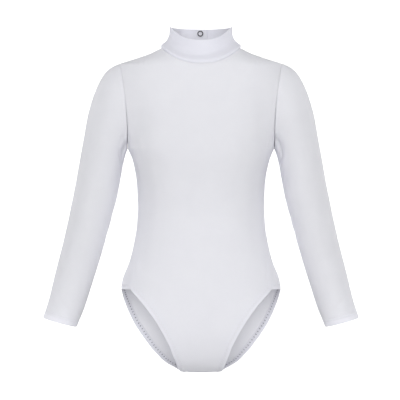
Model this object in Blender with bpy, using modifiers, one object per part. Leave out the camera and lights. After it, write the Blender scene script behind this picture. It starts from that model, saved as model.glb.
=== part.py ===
"""A child's long-sleeved gymnastics leotard with a stand collar, filled out as worn but with no wearer.

The cloth is a thin wall of knit. Front and back panels, two set-in sleeves and a doubled collar are
separate pieces that meet at their seams. A ring snap closes the collar over a short slit at the
centre back. The origin is midway between the shoulders at the base of the neck, where a wearer holds
the garment up. The front faces -Y and the wearer's left is at +X.
"""

import math
from collections import namedtuple

import bmesh
import bpy
import numpy as np

MM = 0.001
SEAM_GAP = 0.3 * MM  # clear distance between two pieces along a seam
KNIT = 1.2 * MM  # wall of the single knit
HEM = 2.0 * MM  # wall where the knit is turned back on itself
HEM_WIDTH = 9 * MM  # depth of the turned leg edges and cuffs
HEM_SLANT = 0.35  # rows that meet a leg edge at a flatter slant than this sine count as this slanted
HEM_SHARE = 0.45  # the hem takes up this much of a row at most
COLLAR_WALL = 2.0 * MM  # the collar is two layers

# Heights that the pieces share, in metres above the base of the neck
NECK_POINT_Z = 2 * MM  # where the shoulder seam meets the collar
TIP_Z = -21 * MM  # where the shoulder seam meets the sleeve
ARMPIT_Z = -148.5 * MM
LEG_TOP_Z = -357 * MM  # top of the leg openings, at the side seams
CROTCH_Z = -484 * MM

SIDE = math.pi / 2  # body angle of the side; 0 is the centre front
CENTRE_BACK = math.pi  # body angle of the centre back
STEP = 1e-5  # small step, in metres, radians or shares, over which slopes are measured

# Half widths of the body in millimetres. Above the armpit it is the line of the shoulder seam.
# Below the leg tops it is the round of the thighs, on which the leg edges are cut.
Width = namedtuple("Width", "name z half")
SHOULDER = (
    Width("tip", -21, 121.0),
    Width("low slope", -18, 111.0),
    Width("middle slope", -12, 92.5),
    Width("high slope", -6, 76.0),
    Width("neck point", 2, 60.0),
)
TORSO = (
    Width("crotch", -484, 88.0),
    Width("thigh low", -470, 112.0),
    Width("thigh", -447, 133.0),
    Width("thigh high", -423, 137.0),
    Width("leg", -398, 131.0),
    Width("below hip", -373, 123.0),
    Width("hip", -357, 119.0),
    Width("hip edge", -350, 118.8),
    Width("over hip", -338, 115.6),
    Width("high hip", -318, 107.5),
    Width("belly", -290, 100.5),
    Width("waist", -262, 96.2),
    Width("narrowest", -236, 95.2),
    Width("ribs", -204, 96.2),
    Width("chest", -180, 99.5),
    Width("under arm", -160, 105.0),
    Width("armpit", -148.5, 110.0),
)

# Depths of the body in front of and behind the plane of the shoulder seams, in millimetres, and the
# share by which the section is fuller than an ellipse at its corners
Depth = namedtuple("Depth", "name z front back full")
DEPTHS = (
    Depth("hip", -357, 69.0, 79.0, 0.045),
    Depth("high hip", -320, 68.5, 72.0, 0.040),
    Depth("belly", -285, 66.5, 60.0, 0.035),
    Depth("waist", -240, 62.5, 53.0, 0.035),
    Depth("ribs", -200, 63.5, 58.5, 0.060),
    Depth("chest", -150, 67.0, 67.5, 0.105),
    Depth("blades", -110, 66.5, 70.0, 0.115),
    Depth("high chest", -70, 63.0, 68.5, 0.110),
    Depth("collarbone", -40, 58.0, 64.0, 0.095),
    Depth("neck front", -22, 54.0, 58.0, 0.080),
    Depth("neck side", -8, 47.5, 51.5, 0.060),
    Depth("neck point", 2, 42.0, 46.0, 0.050),
)
BOWL_FRONT = 2.2  # how sharply the seat closes under the hips: a higher power is fuller
BOWL_BACK = 2.5
CROTCH_LIFT = 1.9 * MM  # the crotch's edges stand this much above its middle
CENTRE_TOP_FRONT = -335 * MM  # where the row from the top of the leg openings meets the centre line
CENTRE_TOP_BACK = -295 * MM
CROTCH_CROWDING = 1.7  # rows lie closer together towards the crotch by this power along the centre
EDGE_CROWDING = 1.15  # and by this much less along the leg edges
ROW_SAG = 2.5  # leg rows run level by the centre and turn to the edge by this power of the way across

# The armhole is an oval loop, upright and bowed in towards the neck
ARMHOLE_MIDDLE_X = 115.5 * MM
ARMHOLE_LEAN = 5.5 * MM  # its top stands this far outside its middle, its bottom this far inside
ARMHOLE_BOW = 3.5 * MM
ARMHOLE_DEPTH = 43 * MM  # half its width from front to back

# The side seam comes forward over the hip. Angles round the body are in degrees.
Seam = namedtuple("Seam", "z angle")
SIDE_SEAM = (
    Seam(-357, 58),
    Seam(-345, 61),
    Seam(-330, 67),
    Seam(-318, 72),
    Seam(-305, 77),
    Seam(-285, 83),
    Seam(-260, 88),
    Seam(-235, 90),
    Seam(-148.5, 90),
)

# Leg edges: distance from the middle of the body at each height, in millimetres
LegEdge = namedtuple("LegEdge", "z x")
LEG_FRONT = (
    LegEdge(-484, 31.0),
    LegEdge(-480, 32.0),
    LegEdge(-465, 37.0),
    LegEdge(-447, 43.5),
    LegEdge(-428, 52.0),
    LegEdge(-407.5, 63.5),
    LegEdge(-383, 81.0),
    LegEdge(-369, 93.5),
    LegEdge(-362, 100.0),
    LegEdge(-357, 103.7),
)
LEG_BACK = (
    LegEdge(-484, 31.0),
    LegEdge(-480.5, 40.0),
    LegEdge(-476.5, 49.3),
    LegEdge(-471, 57.5),
    LegEdge(-459, 69.0),
    LegEdge(-447, 79.0),
    LegEdge(-435, 88.0),
    LegEdge(-423, 96.0),
    LegEdge(-411, 103.0),
    LegEdge(-398, 109.0),
    LegEdge(-386, 113.5),
    LegEdge(-373, 117.4),
    LegEdge(-365.5, 118.8),
)
LEG_SIDE = ((90, -360.0), (74, -357.6))  # angle and height where the edge passes the side

# Neck seam and collar rim
NECK_HALF_WIDTH = 60 * MM
NECK_FRONT_Z = -23.5 * MM
NECK_BACK_Z = -1 * MM
NECK_DIP_POWER = 2.3  # how flat the front of the neck seam is
RIM_HALF_WIDTH = 47 * MM
RIM_FRONT = 44 * MM
RIM_BACK = 41 * MM
RIM_FRONT_Z = 11.5 * MM
RIM_SIDE_Z = 33.5 * MM
RIM_BACK_Z = 32.5 * MM
RIM_DIP_POWER = 2.6
# Share of the collar's height against share of the way in from the seam to the rim
COLLAR_PROFILE = ((0, 0), (0.13, 0.02), (0.24, 0.28), (0.36, 0.60), (0.52, 0.83), (0.74, 0.95), (1, 1))
LAP_ANGLE = math.radians(12)  # each collar end runs this far past the centre back
LAP_EASE = math.radians(30)  # the under end moves in over this angle
LAP_DROP = COLLAR_WALL + 2.8 * MM  # the under end lies this far inside the upper end

# The slit at the centre back
SLIT_HALF_WIDTH = 0.9 * MM
SLIT_BOTTOM_Z = -78 * MM

# Sleeve rings in millimetres, from the armhole to the cuff: the ring's outer and inner points in
# front view, its half depth, and how far its middle lies behind the plane of the shoulder seams
Ring = namedtuple("Ring", "name outer_x outer_z inner_x inner_z half_depth back bow")
SLEEVE = (
    Ring("armhole", 121.0, -21.0, 110.0, -148.5, 43.0, 0.0, 3.5),
    Ring("cap top", 130.5, -24.6, 110.6, -150.5, 43.0, 0.0, 2.4),
    Ring("cap", 140.0, -31.0, 111.3, -152.5, 42.7, 0.2, 1.4),
    Ring("cap round", 151.0, -46.0, 112.3, -155.5, 42.0, 0.6, 0.6),
    Ring("shoulder", 161.5, -70.0, 113.8, -160.0, 40.4, 1.2, 0.2),
    Ring("upper arm", 169.6, -98.0, 115.6, -167.0, 38.8, 2.0, 0.0),
    Ring("biceps", 175.3, -129.0, 117.0, -177.0, 37.4, 2.8, 0.0),
    Ring("mid arm", 181.3, -162.0, 120.3, -192.0, 36.2, 3.4, 0.0),
    Ring("above elbow", 188.0, -200.0, 125.4, -219.0, 34.4, 3.4, 0.0),
    Ring("elbow", 196.5, -243.0, 136.0, -260.0, 32.0, 2.4, 0.0),
    Ring("forearm", 206.5, -288.0, 148.1, -303.5, 29.6, 0.0, 0.0),
    Ring("low forearm", 217.5, -332.0, 161.5, -347.0, 27.0, -4.0, 0.0),
    Ring("wrist", 227.5, -374.0, 175.0, -389.0, 24.4, -9.0, 0.0),
    Ring("cuff", 235.5, -400.3, 185.5, -414.0, 22.6, -12.5, 0.0),
)

# Grid counts. The panels' points face the sleeves' along the armholes and the collar's round the neck.
LEG_ROWS, SIDE_ROWS, CHEST_ROWS = 10, 9, 10
FRONT_COLUMNS, BACK_COLUMNS, NECK_COLUMNS = 12, 14, 8  # from the centre to the edge, and along the neck
SLEEVE_RINGS = 17
CAP_CROWDING = 1.15  # rings lie closer together towards the armhole by this power
SLEEVE_SIDES = 2 * CHEST_ROWS
COLLAR_ROWS = 7

# Ring snap. Each profile runs round a section, as distance from the axis and height, in millimetres.
SNAP_RADIUS = 4.5 * MM
SNAP_ASIDE = -1.0 * MM  # the snap's place across: a little to the wearer's right of the centre back
SNAP_SEAT = 0.3 * MM  # clear distance between the metal and the knit under it
SNAP_BELOW_RIM = 6.1 * MM  # the snap's centre lies this far under the collar's rim
SNAP_SIDES = 28
Turn = namedtuple("Turn", "radius height")
PRONG_RING = (
    Turn(4.5, 0.25),
    Turn(4.2, 0),
    Turn(3.3, 0),
    Turn(3.0, 0.25),
    Turn(3.0, 0.6),
    Turn(3.35, 0.85),
    Turn(4.15, 0.85),
    Turn(4.5, 0.6),
)
SOCKET_PLATE = (Turn(4.1, 0), Turn(2.1, 0), Turn(2.1, 0.4), Turn(4.1, 0.4))
STUD_PLATE = (Turn(0, 0.4), Turn(4.1, 0.4), Turn(4.1, 0), Turn(0, 0))

KNIT_WHITE = (0.80, 0.81, 0.84, 1.0)
SNAP_METAL = (0.05, 0.05, 0.06, 1.0)


def curve_through(places, values):
    """A smooth curve through a table's points, in metres for a table in millimetres.

    It is a cubic whose slope at each point is the weighted harmonic mean of its neighbours' slopes,
    so it never swings past a value in the table.
    """
    place, value = np.asarray(places, float), np.asarray(values, float)
    step = np.diff(place)
    rise = np.diff(value) / step
    slope = np.zeros(len(place))
    slope[0], slope[-1] = rise[0], rise[-1]
    before, after = 2 * step[1:] + step[:-1], step[1:] + 2 * step[:-1]
    same = rise[:-1] * rise[1:] > 0
    slope[1:-1][same] = (before + after)[same] / (before[same] / rise[:-1][same] + after[same] / rise[1:][same])

    def at(where):
        where = np.asarray(where, float)
        i = np.clip(np.searchsorted(place, where) - 1, 0, len(step) - 1)
        t = (where - place[i]) / step[i]
        return (
            value[i] * (1 + 2 * t) * (1 - t) ** 2
            + value[i + 1] * t**2 * (3 - 2 * t)
            + step[i] * (slope[i] * t * (1 - t) ** 2 - slope[i + 1] * t**2 * (1 - t))
        )

    return at


def column(table, across, along="z", scale=MM):
    """The smooth curve of one column of a table against another."""
    places = [getattr(row, along) * MM for row in table]
    return curve_through(places, [getattr(row, across) * scale for row in table])


shoulder_half = column(SHOULDER, "half")
torso_half = column(TORSO, "half")
front_table = column(DEPTHS, "front")
back_table = column(DEPTHS, "back")
fullness = column(DEPTHS, "full", scale=1)
seam_angle = column(SIDE_SEAM, "angle", scale=math.pi / 180)
leg_front_x = column(LEG_FRONT, "x")
collar_profile = curve_through(*zip(*COLLAR_PROFILE))


def swell(angle, z):
    """How much fuller than an ellipse a section is at an angle."""
    return 1 + fullness(z) * np.sin(2 * angle) ** 2


def angle_where(share, z, of):
    """Angle of a quarter turn at which a section's width (sine) or depth (cosine) reaches a share."""
    share, z = np.broadcast_arrays(np.asarray(share, float), np.asarray(z, float))
    low, high = np.zeros(share.shape), np.full(share.shape, SIDE)
    for _ in range(44):
        middle = (low + high) / 2
        reached = of(middle) * swell(middle, z) > share
        if of is np.cos:
            reached = ~reached
        low, high = np.where(reached, low, middle), np.where(reached, middle, high)
    return (low + high) / 2


def depth(z, table, power):
    """Depth of the body at a height: from the table, and below the leg tops closing like a bowl."""
    drop = np.clip((LEG_TOP_Z - z) / (LEG_TOP_Z - CROTCH_Z), 0, 1)
    return table(np.maximum(z, LEG_TOP_Z)) * np.sqrt(1 - drop**power)


def armhole_x(z):
    """Distance of the armhole seam from the middle of the body at a height."""
    along = np.clip((2 * z - TIP_Z - ARMPIT_Z) / (TIP_Z - ARMPIT_Z), -1, 1)
    return ARMHOLE_MIDDLE_X + ARMHOLE_LEAN * along - ARMHOLE_BOW * (1 - along**2)


def armhole_y(z):
    """Half the armhole's width from front to back at a height."""
    along = np.clip((2 * z - TIP_Z - ARMPIT_Z) / (TIP_Z - ARMPIT_Z), -1, 1)
    return ARMHOLE_DEPTH * np.sqrt(1 - along**2)


def armhole_angle(z, depth_there):
    """Angle round the body, from the centre, at which a section meets the armhole."""
    return angle_where(armhole_y(z) / depth_there, z, np.cos)


def half_width(z, depth_there):
    """Half width of the section at a height. Beside an armhole it is the section's that meets its seam."""
    meets = armhole_angle(z, depth_there)
    share = np.sin(meets) * swell(meets, z)
    beside_armhole = (z > ARMPIT_Z) & (z < TIP_Z)
    plain = np.where(z <= ARMPIT_Z, torso_half(z), shoulder_half(np.maximum(z, TIP_Z)))
    return np.where(beside_armhole, armhole_x(z) / share, plain)


def body(angle, z):
    """Points of the body's outside at angles round it, where 0 is the centre front, and at heights."""
    angle, z = np.broadcast_arrays(np.asarray(angle, float), np.asarray(z, float))
    front, back = depth(z, front_table, BOWL_FRONT), depth(z, back_table, BOWL_BACK)
    deep = np.where(np.abs(angle) > SIDE, back, front)
    full = swell(angle, z)
    x = half_width(z, np.maximum(deep, 1e-6)) * np.sin(angle) * full
    y = -deep * np.cos(angle) * full
    drop = np.clip((LEG_TOP_Z - z) / (LEG_TOP_Z - CROTCH_Z), 0, 1)
    lift = CROTCH_LIFT * (x / leg_front_x(CROTCH_Z)) ** 2 * drop**10
    return np.stack([x, y, z + lift], axis=-1)


def body_normal(angle, z):
    """Outward normals of the body, from small steps round it and up it."""
    step = np.minimum(STEP, 0.1 * (np.asarray(z) - CROTCH_Z))
    around = body(angle + 10 * STEP, z) - body(angle - 10 * STEP, z)
    up = body(angle, z + step) - body(angle, z - step)
    normal = np.cross(around, up)
    return normal / np.linalg.norm(normal, axis=-1, keepdims=True)


def angle_at(x, z, back):
    """Angle from the body's centre line at which its section is x wide."""
    deep = depth(z, back_table, BOWL_BACK) if back else depth(z, front_table, BOWL_FRONT)
    share = x / half_width(z, np.maximum(deep, 1e-6))
    return angle_where(share, z, np.sin)


def neck_point(turn, back):
    """Distance from the middle and height of the neck seam. Turn runs from 0 at the centre to the side."""
    x = NECK_HALF_WIDTH * np.sin(turn)
    if back:
        return x, NECK_POINT_Z + (NECK_BACK_Z - NECK_POINT_Z) * np.cos(turn) ** 2
    return x, NECK_FRONT_Z + (NECK_POINT_Z - NECK_FRONT_Z) * np.sin(turn) ** NECK_DIP_POWER


def leg_edge(share, back):
    """Angle from the centre and height at shares of the way along a leg edge, from crotch to side seam."""
    table = LEG_BACK if back else LEG_FRONT
    heights = np.array([row.z * MM for row in table])
    angles = angle_at(np.array([row.x * MM for row in table]), heights, back)
    if back:
        ends = LEG_SIDE + ((math.degrees(seam_angle(LEG_TOP_Z)), LEG_TOP_Z / MM),)
        angles = np.concatenate([angles, [CENTRE_BACK - math.radians(a) for a, _ in ends]])
        heights = np.concatenate([heights, [z * MM for _, z in ends]])
    else:
        angles[-1] = seam_angle(LEG_TOP_Z)
    points = body(CENTRE_BACK - angles if back else angles, heights)
    along = np.concatenate([[0], np.cumsum(np.linalg.norm(np.diff(points, axis=0), axis=1))])
    along /= along[-1]
    return curve_through(along, angles)(share), curve_through(along, heights)(share)


def settle(target, angle, z, back):
    """Angles from the centre and heights of the points of the body that lie nearest to some targets.

    Each round moves a point most of the way to where its miss would vanish if the body were flat there.
    """
    part_way = 0.6
    for _ in range(12):
        facing = CENTRE_BACK - angle if back else angle
        miss = target - body(facing, z)
        around = (body(facing + STEP, z) - body(facing - STEP, z)) / (2 * STEP)
        up = (body(facing, z + STEP) - body(facing, z - STEP)) / (2 * STEP)
        aa, uu, au = (around**2).sum(-1), (up**2).sum(-1), (around * up).sum(-1)
        am, um = (around * miss).sum(-1), (up * miss).sum(-1)
        spread = aa * uu - au**2
        turned = (am * uu - um * au) / spread
        angle = angle + part_way * (-turned if back else turned)
        z = z + part_way * (um * aa - am * au) / spread
    return angle, z


def chest_rows(columns, back):
    """Angles from the centre and heights of the rows from armpit level to the shoulder and neck seams.

    The points are spread between the level row at the armpits, the centre line, the armhole and the
    top seams, by adding the ways that opposite edges bend, and are then moved onto the body.
    """
    across = np.linspace(0, 1, columns + 1)
    turn = SIDE * across[: NECK_COLUMNS + 1] / across[NECK_COLUMNS]
    neck_x, neck_z = neck_point(turn, back)
    slope = (across[NECK_COLUMNS:] - across[NECK_COLUMNS]) / (1 - across[NECK_COLUMNS])
    top_angle = np.concatenate([angle_at(neck_x, neck_z, back)[:-1], np.full(len(slope), SIDE)])
    top_z = np.concatenate([neck_z[:-1], NECK_POINT_Z + (TIP_Z - NECK_POINT_Z) * slope])
    up = np.linspace(0, 1, CHEST_ROWS + 1)[:, None]
    edge_z = ARMPIT_Z + (TIP_Z - ARMPIT_Z) * (1 - np.cos(math.pi * up)) / 2
    table, power = (back_table, BOWL_BACK) if back else (front_table, BOWL_FRONT)
    edge_angle = armhole_angle(edge_z, depth(edge_z, table, power))
    centre_z = ARMPIT_Z + (neck_z[0] - ARMPIT_Z) * up

    def at(angle, z):
        return body(CENTRE_BACK - angle if back else angle, z)

    low, high = at(SIDE * across, ARMPIT_Z), at(top_angle, top_z)
    middle, edge = at(0, centre_z), at(edge_angle, edge_z)
    v, u = up[..., None], across[None, :, None]
    target = (1 - v) * low + v * high + (1 - u) * middle + u * edge
    target = target - (1 - u) * ((1 - v) * low[0] + v * high[0]) - u * ((1 - v) * low[-1] + v * high[-1])
    z = (1 - up) * ARMPIT_Z + up * top_z
    z = z + across * (edge_z - (1 - up) * ARMPIT_Z - up * TIP_Z)
    z = np.clip(z, ARMPIT_Z, np.maximum(top_z - 2 * MM * (1 - up), ARMPIT_Z))
    angle = (1 - up) * SIDE * across + up * top_angle + across * (edge_angle - SIDE)
    inside = (slice(1, -1), slice(1, -1))
    settled = settle(target[inside], angle[inside], z[inside], back)
    angle, z = np.broadcast_to(angle, target.shape[:2]).copy(), z.copy()
    angle[inside], z[inside] = settled
    angle[:, -1], z[:, -1] = edge_angle[:, 0], edge_z[:, 0]
    angle[:, 0], z[:, 0] = 0, centre_z[:, 0]
    angle[0], z[0] = SIDE * across, ARMPIT_Z
    angle[-1], z[-1] = top_angle, top_z
    return angle, z


def panel_rows(columns, back):
    """Angles from the centre and heights of a half panel's grid, from the crotch to the neck."""
    across = np.linspace(0, 1, columns + 1)
    centre_top = CENTRE_TOP_BACK if back else CENTRE_TOP_FRONT
    up = np.linspace(0, 1, LEG_ROWS + 1)[:-1]
    centre_z = CROTCH_Z + (centre_top - CROTCH_Z) * up**CROTCH_CROWDING
    table, power = (back_table, BOWL_BACK) if back else (front_table, BOWL_FRONT)
    drop = (1 - (SEAM_GAP / 2 / table(LEG_TOP_Z)) ** 2) ** (1 / power)
    centre_z[0] = LEG_TOP_Z - (LEG_TOP_Z - CROTCH_Z) * drop
    edge_angle, edge_z = leg_edge(np.maximum(up**EDGE_CROWDING, STEP), back)
    edge_z[0] = centre_z[0]
    steps = np.linspace(0, 1, SIDE_ROWS + 1)[:-1]
    side_z = LEG_TOP_Z + (ARMPIT_Z - LEG_TOP_Z) * steps
    side_angle = CENTRE_BACK - seam_angle(side_z) if back else seam_angle(side_z)
    centre_z = np.concatenate([centre_z, centre_top + (ARMPIT_Z - centre_top) * steps])[:, None]
    edge_angle = np.concatenate([edge_angle, side_angle])[:, None]
    edge_z = np.concatenate([edge_z, side_z])[:, None]
    chest_angle, chest_z = chest_rows(columns, back)
    angle = np.concatenate([edge_angle * across, chest_angle])
    z = np.concatenate([centre_z + (edge_z - centre_z) * across**ROW_SAG, chest_z])
    return angle, z


def with_hem(angle, z, back):
    """Moves the last column but one of the leg rows to the hem's depth from the edge."""
    rows = slice(0, LEG_ROWS + 1)
    facing = (CENTRE_BACK - angle[rows]) if back else angle[rows]
    points = body(facing, z[rows])
    edge = points[:, -1]
    run = np.gradient(edge, axis=0)
    run /= np.linalg.norm(run, axis=1, keepdims=True)
    row = points[:, -1] - points[:, -2]
    length = np.linalg.norm(row, axis=1, keepdims=True)
    square = np.linalg.norm(np.cross(row / length, run), axis=1)
    whole = np.linalg.norm(np.diff(points, axis=1), axis=2).sum(axis=1)
    share = np.minimum(HEM_WIDTH / (np.maximum(square, HEM_SLANT) * whole), HEM_SHARE)
    columns = angle.shape[1] - 1
    fade = np.ones(LEG_ROWS + 1)
    fade[-1] = 0.5  # the row above the leg opening is half way back to even columns
    share = fade * share + (1 - fade) / columns
    across = np.linspace(0, 1, columns)[None, :] * (1 - share)[:, None]
    across = np.concatenate([across, np.ones((len(share), 1))], axis=1)
    even = np.linspace(0, 1, columns + 1)
    for i in range(LEG_ROWS + 1):
        angle[i] = np.interp(across[i], even, angle[i])
        z[i] = np.interp(across[i], even, z[i])
    return angle, z


def trim_for_seams(outer):
    """Draws a half panel's edge column and top row back by half a seam gap, square to the seam."""
    for edge, beside in ((outer[:, -1], outer[:, -2]), (outer[-1], outer[-2])):
        run = np.gradient(edge, axis=0)
        run /= np.linalg.norm(run, axis=1, keepdims=True)
        toward = beside - edge
        toward -= (toward * run).sum(axis=1, keepdims=True) * run
        edge += SEAM_GAP / 2 * toward / np.linalg.norm(toward, axis=1, keepdims=True)


def panel_grid(columns, back):
    """Outer and inner points of a whole panel, from its wearer's right edge to its left."""
    angle, z = panel_rows(columns, back)
    angle, z = with_hem(angle, z, back)
    wall = np.full(angle.shape, KNIT)
    wall[: LEG_ROWS + 1, -2:] = HEM
    if back:
        angle[:, 0] = np.arcsin(SLIT_HALF_WIDTH / half_width(z[:, 0], depth(z[:, 0], back_table, BOWL_BACK)))
        angle = CENTRE_BACK - angle
    outer, normal = body(angle, z), body_normal(angle, z)
    trim_for_seams(outer)
    inner = outer - wall[..., None] * normal
    if not back:
        outer[:, 0, 0] = inner[:, 0, 0] = 0
    first = 0 if back else 1
    mirror = np.array([-1, 1, 1])

    def whole(half):
        return np.concatenate([mirror * half[:, ::-1][:, : columns + 1 - first], half], axis=1)

    return whole(outer), whole(inner)


def sleeve_grid(side):
    """Outer and inner points of a sleeve's rings. Side is 1 for the wearer's left and -1 for the right."""
    middle = [((r.outer_x + r.inner_x) / 2, (r.outer_z + r.inner_z) / 2) for r in SLEEVE]
    steps = np.linalg.norm(np.diff(middle, axis=0), axis=1)
    along = np.concatenate([[0], np.cumsum(steps)]) / steps.sum()
    track = {name: curve_through(along, [getattr(r, name) * MM for r in SLEEVE]) for name in Ring._fields[1:]}
    length = steps.sum() * MM
    share = np.linspace(0, 1, SLEEVE_RINGS + 1) ** CAP_CROWDING
    share = share * (1 - HEM_WIDTH / length)
    share = np.concatenate([share, [1 - 0.5 * HEM_WIDTH / length, 1]])
    share[0] = SEAM_GAP / 2 / length
    turn = np.arange(SLEEVE_SIDES) * 2 * math.pi / SLEEVE_SIDES

    def ring(share, turn):
        share, turn = np.broadcast_arrays(share, turn)
        at = {name: curve(share) for name, curve in track.items()}
        reach = np.cos(turn)
        x = (at["outer_x"] + at["inner_x"]) / 2 + (at["outer_x"] - at["inner_x"]) / 2 * reach
        z = (at["outer_z"] + at["inner_z"]) / 2 + (at["outer_z"] - at["inner_z"]) / 2 * reach
        x = x - at["bow"] * np.sin(turn) ** 2
        y = at["back"] - at["half_depth"] * np.sin(turn)
        return np.stack([side * x, y, z], axis=-1)

    share, turn = share[:, None], turn[None, :]
    outer = ring(share, turn)
    around = ring(share, turn + 10 * STEP) - ring(share, turn - 10 * STEP)
    along_arm = ring(share + STEP, turn) - ring(np.maximum(share - STEP, 0), turn)
    normal = side * np.cross(around, along_arm)
    normal /= np.linalg.norm(normal, axis=-1, keepdims=True)
    normal[0, :, 0] = side * np.minimum(side * normal[0, :, 0], 0)  # no wall leans over the armhole seam
    wall = np.full(share.shape, KNIT)
    wall[-3:] = HEM
    return outer, outer - wall[..., None] * normal


def collar_grid():
    """Outer and inner points of the collar, from its under end round the front to its upper end."""
    quarter = np.linspace(0, SIDE, NECK_COLUMNS + 1)
    half = np.concatenate([quarter, SIDE + quarter[1:-1], [CENTRE_BACK, CENTRE_BACK + LAP_ANGLE]])
    turn = np.concatenate([-half[:0:-1], half])[None, :]
    up = np.linspace(0, 1, COLLAR_ROWS + 1)[:, None]

    def surface(up, turn, offset):
        up, turn = np.broadcast_arrays(up, turn)
        side, ahead = np.sin(turn), np.cos(turn)
        quarter = np.arccos(np.clip(np.abs(ahead), 0, 1))
        seam_x_front, seam_z_front = neck_point(quarter, back=False)
        seam_x_back, seam_z_back = neck_point(quarter, back=True)
        in_back = ahead < 0
        seam_z = np.where(in_back, seam_z_back, seam_z_front)
        seam_angle_here = np.where(
            in_back,
            CENTRE_BACK - angle_at(seam_x_back, seam_z_back, back=True),
            angle_at(seam_x_front, seam_z_front, back=False),
        )
        seam = body(np.sign(side) * seam_angle_here, seam_z)
        seam[..., 2] += SEAM_GAP / 2
        rim_z = np.where(
            in_back,
            RIM_SIDE_Z + (RIM_BACK_Z - RIM_SIDE_Z) * ahead**2,
            RIM_FRONT_Z + (RIM_SIDE_Z - RIM_FRONT_Z) * np.abs(side) ** RIM_DIP_POWER,
        )
        rim_y = -np.where(in_back, RIM_BACK, RIM_FRONT) * ahead
        rim = np.stack([RIM_HALF_WIDTH * side, rim_y, rim_z], axis=-1)
        inward = collar_profile(up)[..., None]
        height = up[..., None]
        blend = np.concatenate([inward, inward, height], axis=-1)
        point = seam + (rim - seam) * blend
        past = np.clip((-turn - (CENTRE_BACK - LAP_ANGLE - LAP_EASE)) / LAP_EASE, 0, 1)
        drop = LAP_DROP * past**2 * (3 - 2 * past)
        radial = np.stack([side / RIM_HALF_WIDTH, -ahead / RIM_BACK, np.zeros_like(side)], axis=-1)
        radial /= np.linalg.norm(radial, axis=-1, keepdims=True)
        return point - radial * (drop + offset)[..., None]

    zero = np.zeros((1, 1))
    outer = surface(up, turn, zero)
    inner = surface(up, turn, zero + COLLAR_WALL)
    return outer, inner


def cloth_solid(name, outer, inner, wrap=False, removed=None):
    """A closed wall between two grids of points. Wrap joins the last column to the first.

    Both sides of a cell are cut along the same diagonal, the shorter one of its outer side.
    """
    rows, columns = outer.shape[:2]
    across = columns if wrap else columns - 1
    kept = np.ones((rows - 1, across), bool)
    if removed is not None:
        kept &= ~removed
    number = np.arange(rows * columns).reshape(rows, columns)
    inside = rows * columns
    points = np.concatenate([outer.reshape(-1, 3), inner.reshape(-1, 3)])
    faces = []
    for i, j in zip(*np.nonzero(kept)):
        k = (j + 1) % columns
        a, b, c, d = (int(n) for n in (number[i, j], number[i, k], number[i + 1, k], number[i + 1, j]))
        if np.linalg.norm(points[a] - points[c]) < np.linalg.norm(points[b] - points[d]):
            halves = [(a, b, c), (a, c, d)]
        else:
            halves = [(a, b, d), (b, c, d)]
        faces += halves + [tuple(inside + n for n in reversed(half)) for half in halves]
        corners = (a, b, c, d)
        beyond = ((i - 1, j), (i, j + 1), (i + 1, j), (i, j - 1))
        for edge, (p, q) in enumerate(beyond):
            q = q % across if wrap else q
            if 0 <= p < rows - 1 and 0 <= q < across and kept[p, q]:
                continue
            start, end = corners[edge], corners[(edge + 1) % 4]
            faces.append((end, start, inside + start, inside + end))
    mesh = bpy.data.meshes.new(name)
    mesh.from_pydata(points.tolist(), [], faces)
    work = bmesh.new()
    work.from_mesh(mesh)
    if work.calc_volume(signed=True) < 0:
        bmesh.ops.reverse_faces(work, faces=work.faces)
    work.to_mesh(mesh)
    work.free()
    mesh.shade_smooth()
    mesh.set_sharp_from_angle(angle=math.radians(50))
    return bpy.data.objects.new(name, mesh)


def turned_piece(name, profile):
    """A piece turned round its own Z axis from a profile. One that starts and ends on the axis stays open."""
    mesh = bpy.data.meshes.new(name)
    points = [(turn.radius * MM, 0, turn.height * MM) for turn in profile]
    count = len(points)
    closed = all(turn.radius > 0 for turn in profile)
    edges = [(i, (i + 1) % count) for i in range(count if closed else count - 1)]
    mesh.from_pydata(points, edges, [])
    piece = bpy.data.objects.new(name, mesh)
    screw = piece.modifiers.new("Turn", "SCREW")
    screw.axis = "Z"
    screw.steps = screw.render_steps = SNAP_SIDES
    screw.use_merge_vertices = True
    screw.merge_threshold = 0.00005
    screw.use_smooth_shade = True
    return piece


def material(name, colour, roughness, metallic):
    """A Principled material."""
    made = bpy.data.materials.new(name)
    made.use_nodes = True
    shader = made.node_tree.nodes["Principled BSDF"]
    shader.inputs["Base Color"].default_value = colour
    shader.inputs["Roughness"].default_value = roughness
    shader.inputs["Metallic"].default_value = metallic
    return made


def clear_scene():
    for old in list(bpy.data.objects):
        bpy.data.objects.remove(old, do_unlink=True)


def build_snap():
    """The four parts of the ring snap, from the outside of the upper end to the inside of the under end."""
    centre_z = RIM_BACK_Z - SNAP_BELOW_RIM
    up = (centre_z - NECK_BACK_Z) / (RIM_BACK_Z - NECK_BACK_Z)
    seam_y = float(body(CENTRE_BACK, NECK_BACK_Z)[1])
    outside_y = seam_y + (RIM_BACK - seam_y) * float(collar_profile(up))
    curve_room = SNAP_RADIUS**2 / (2 * RIM_BACK)  # the round collar rises this much under a flat part
    low = (centre_z - SNAP_RADIUS - NECK_BACK_Z) / (RIM_BACK_Z - NECK_BACK_Z)
    fall = (seam_y - RIM_BACK) * float(collar_profile(up) - collar_profile(low))
    seat = SNAP_SEAT + fall
    stack = {
        "snap_cap": outside_y + seat,
        "snap_socket": outside_y - COLLAR_WALL - curve_room - seat,
        "snap_stud": outside_y - LAP_DROP + seat,
        "snap_ring": outside_y - LAP_DROP - COLLAR_WALL - curve_room - seat,
    }
    shapes = {
        "snap_cap": (PRONG_RING, -1),
        "snap_socket": (SOCKET_PLATE, 1),
        "snap_stud": (STUD_PLATE, -1),
        "snap_ring": (PRONG_RING, 1),
    }
    pieces = []
    for name, (profile, facing) in shapes.items():
        piece = turned_piece(name, profile)
        piece.location = (SNAP_ASIDE, stack[name], centre_z)
        piece.rotation_euler = (facing * SIDE, 0, 0)
        pieces.append(piece)
    return pieces


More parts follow.
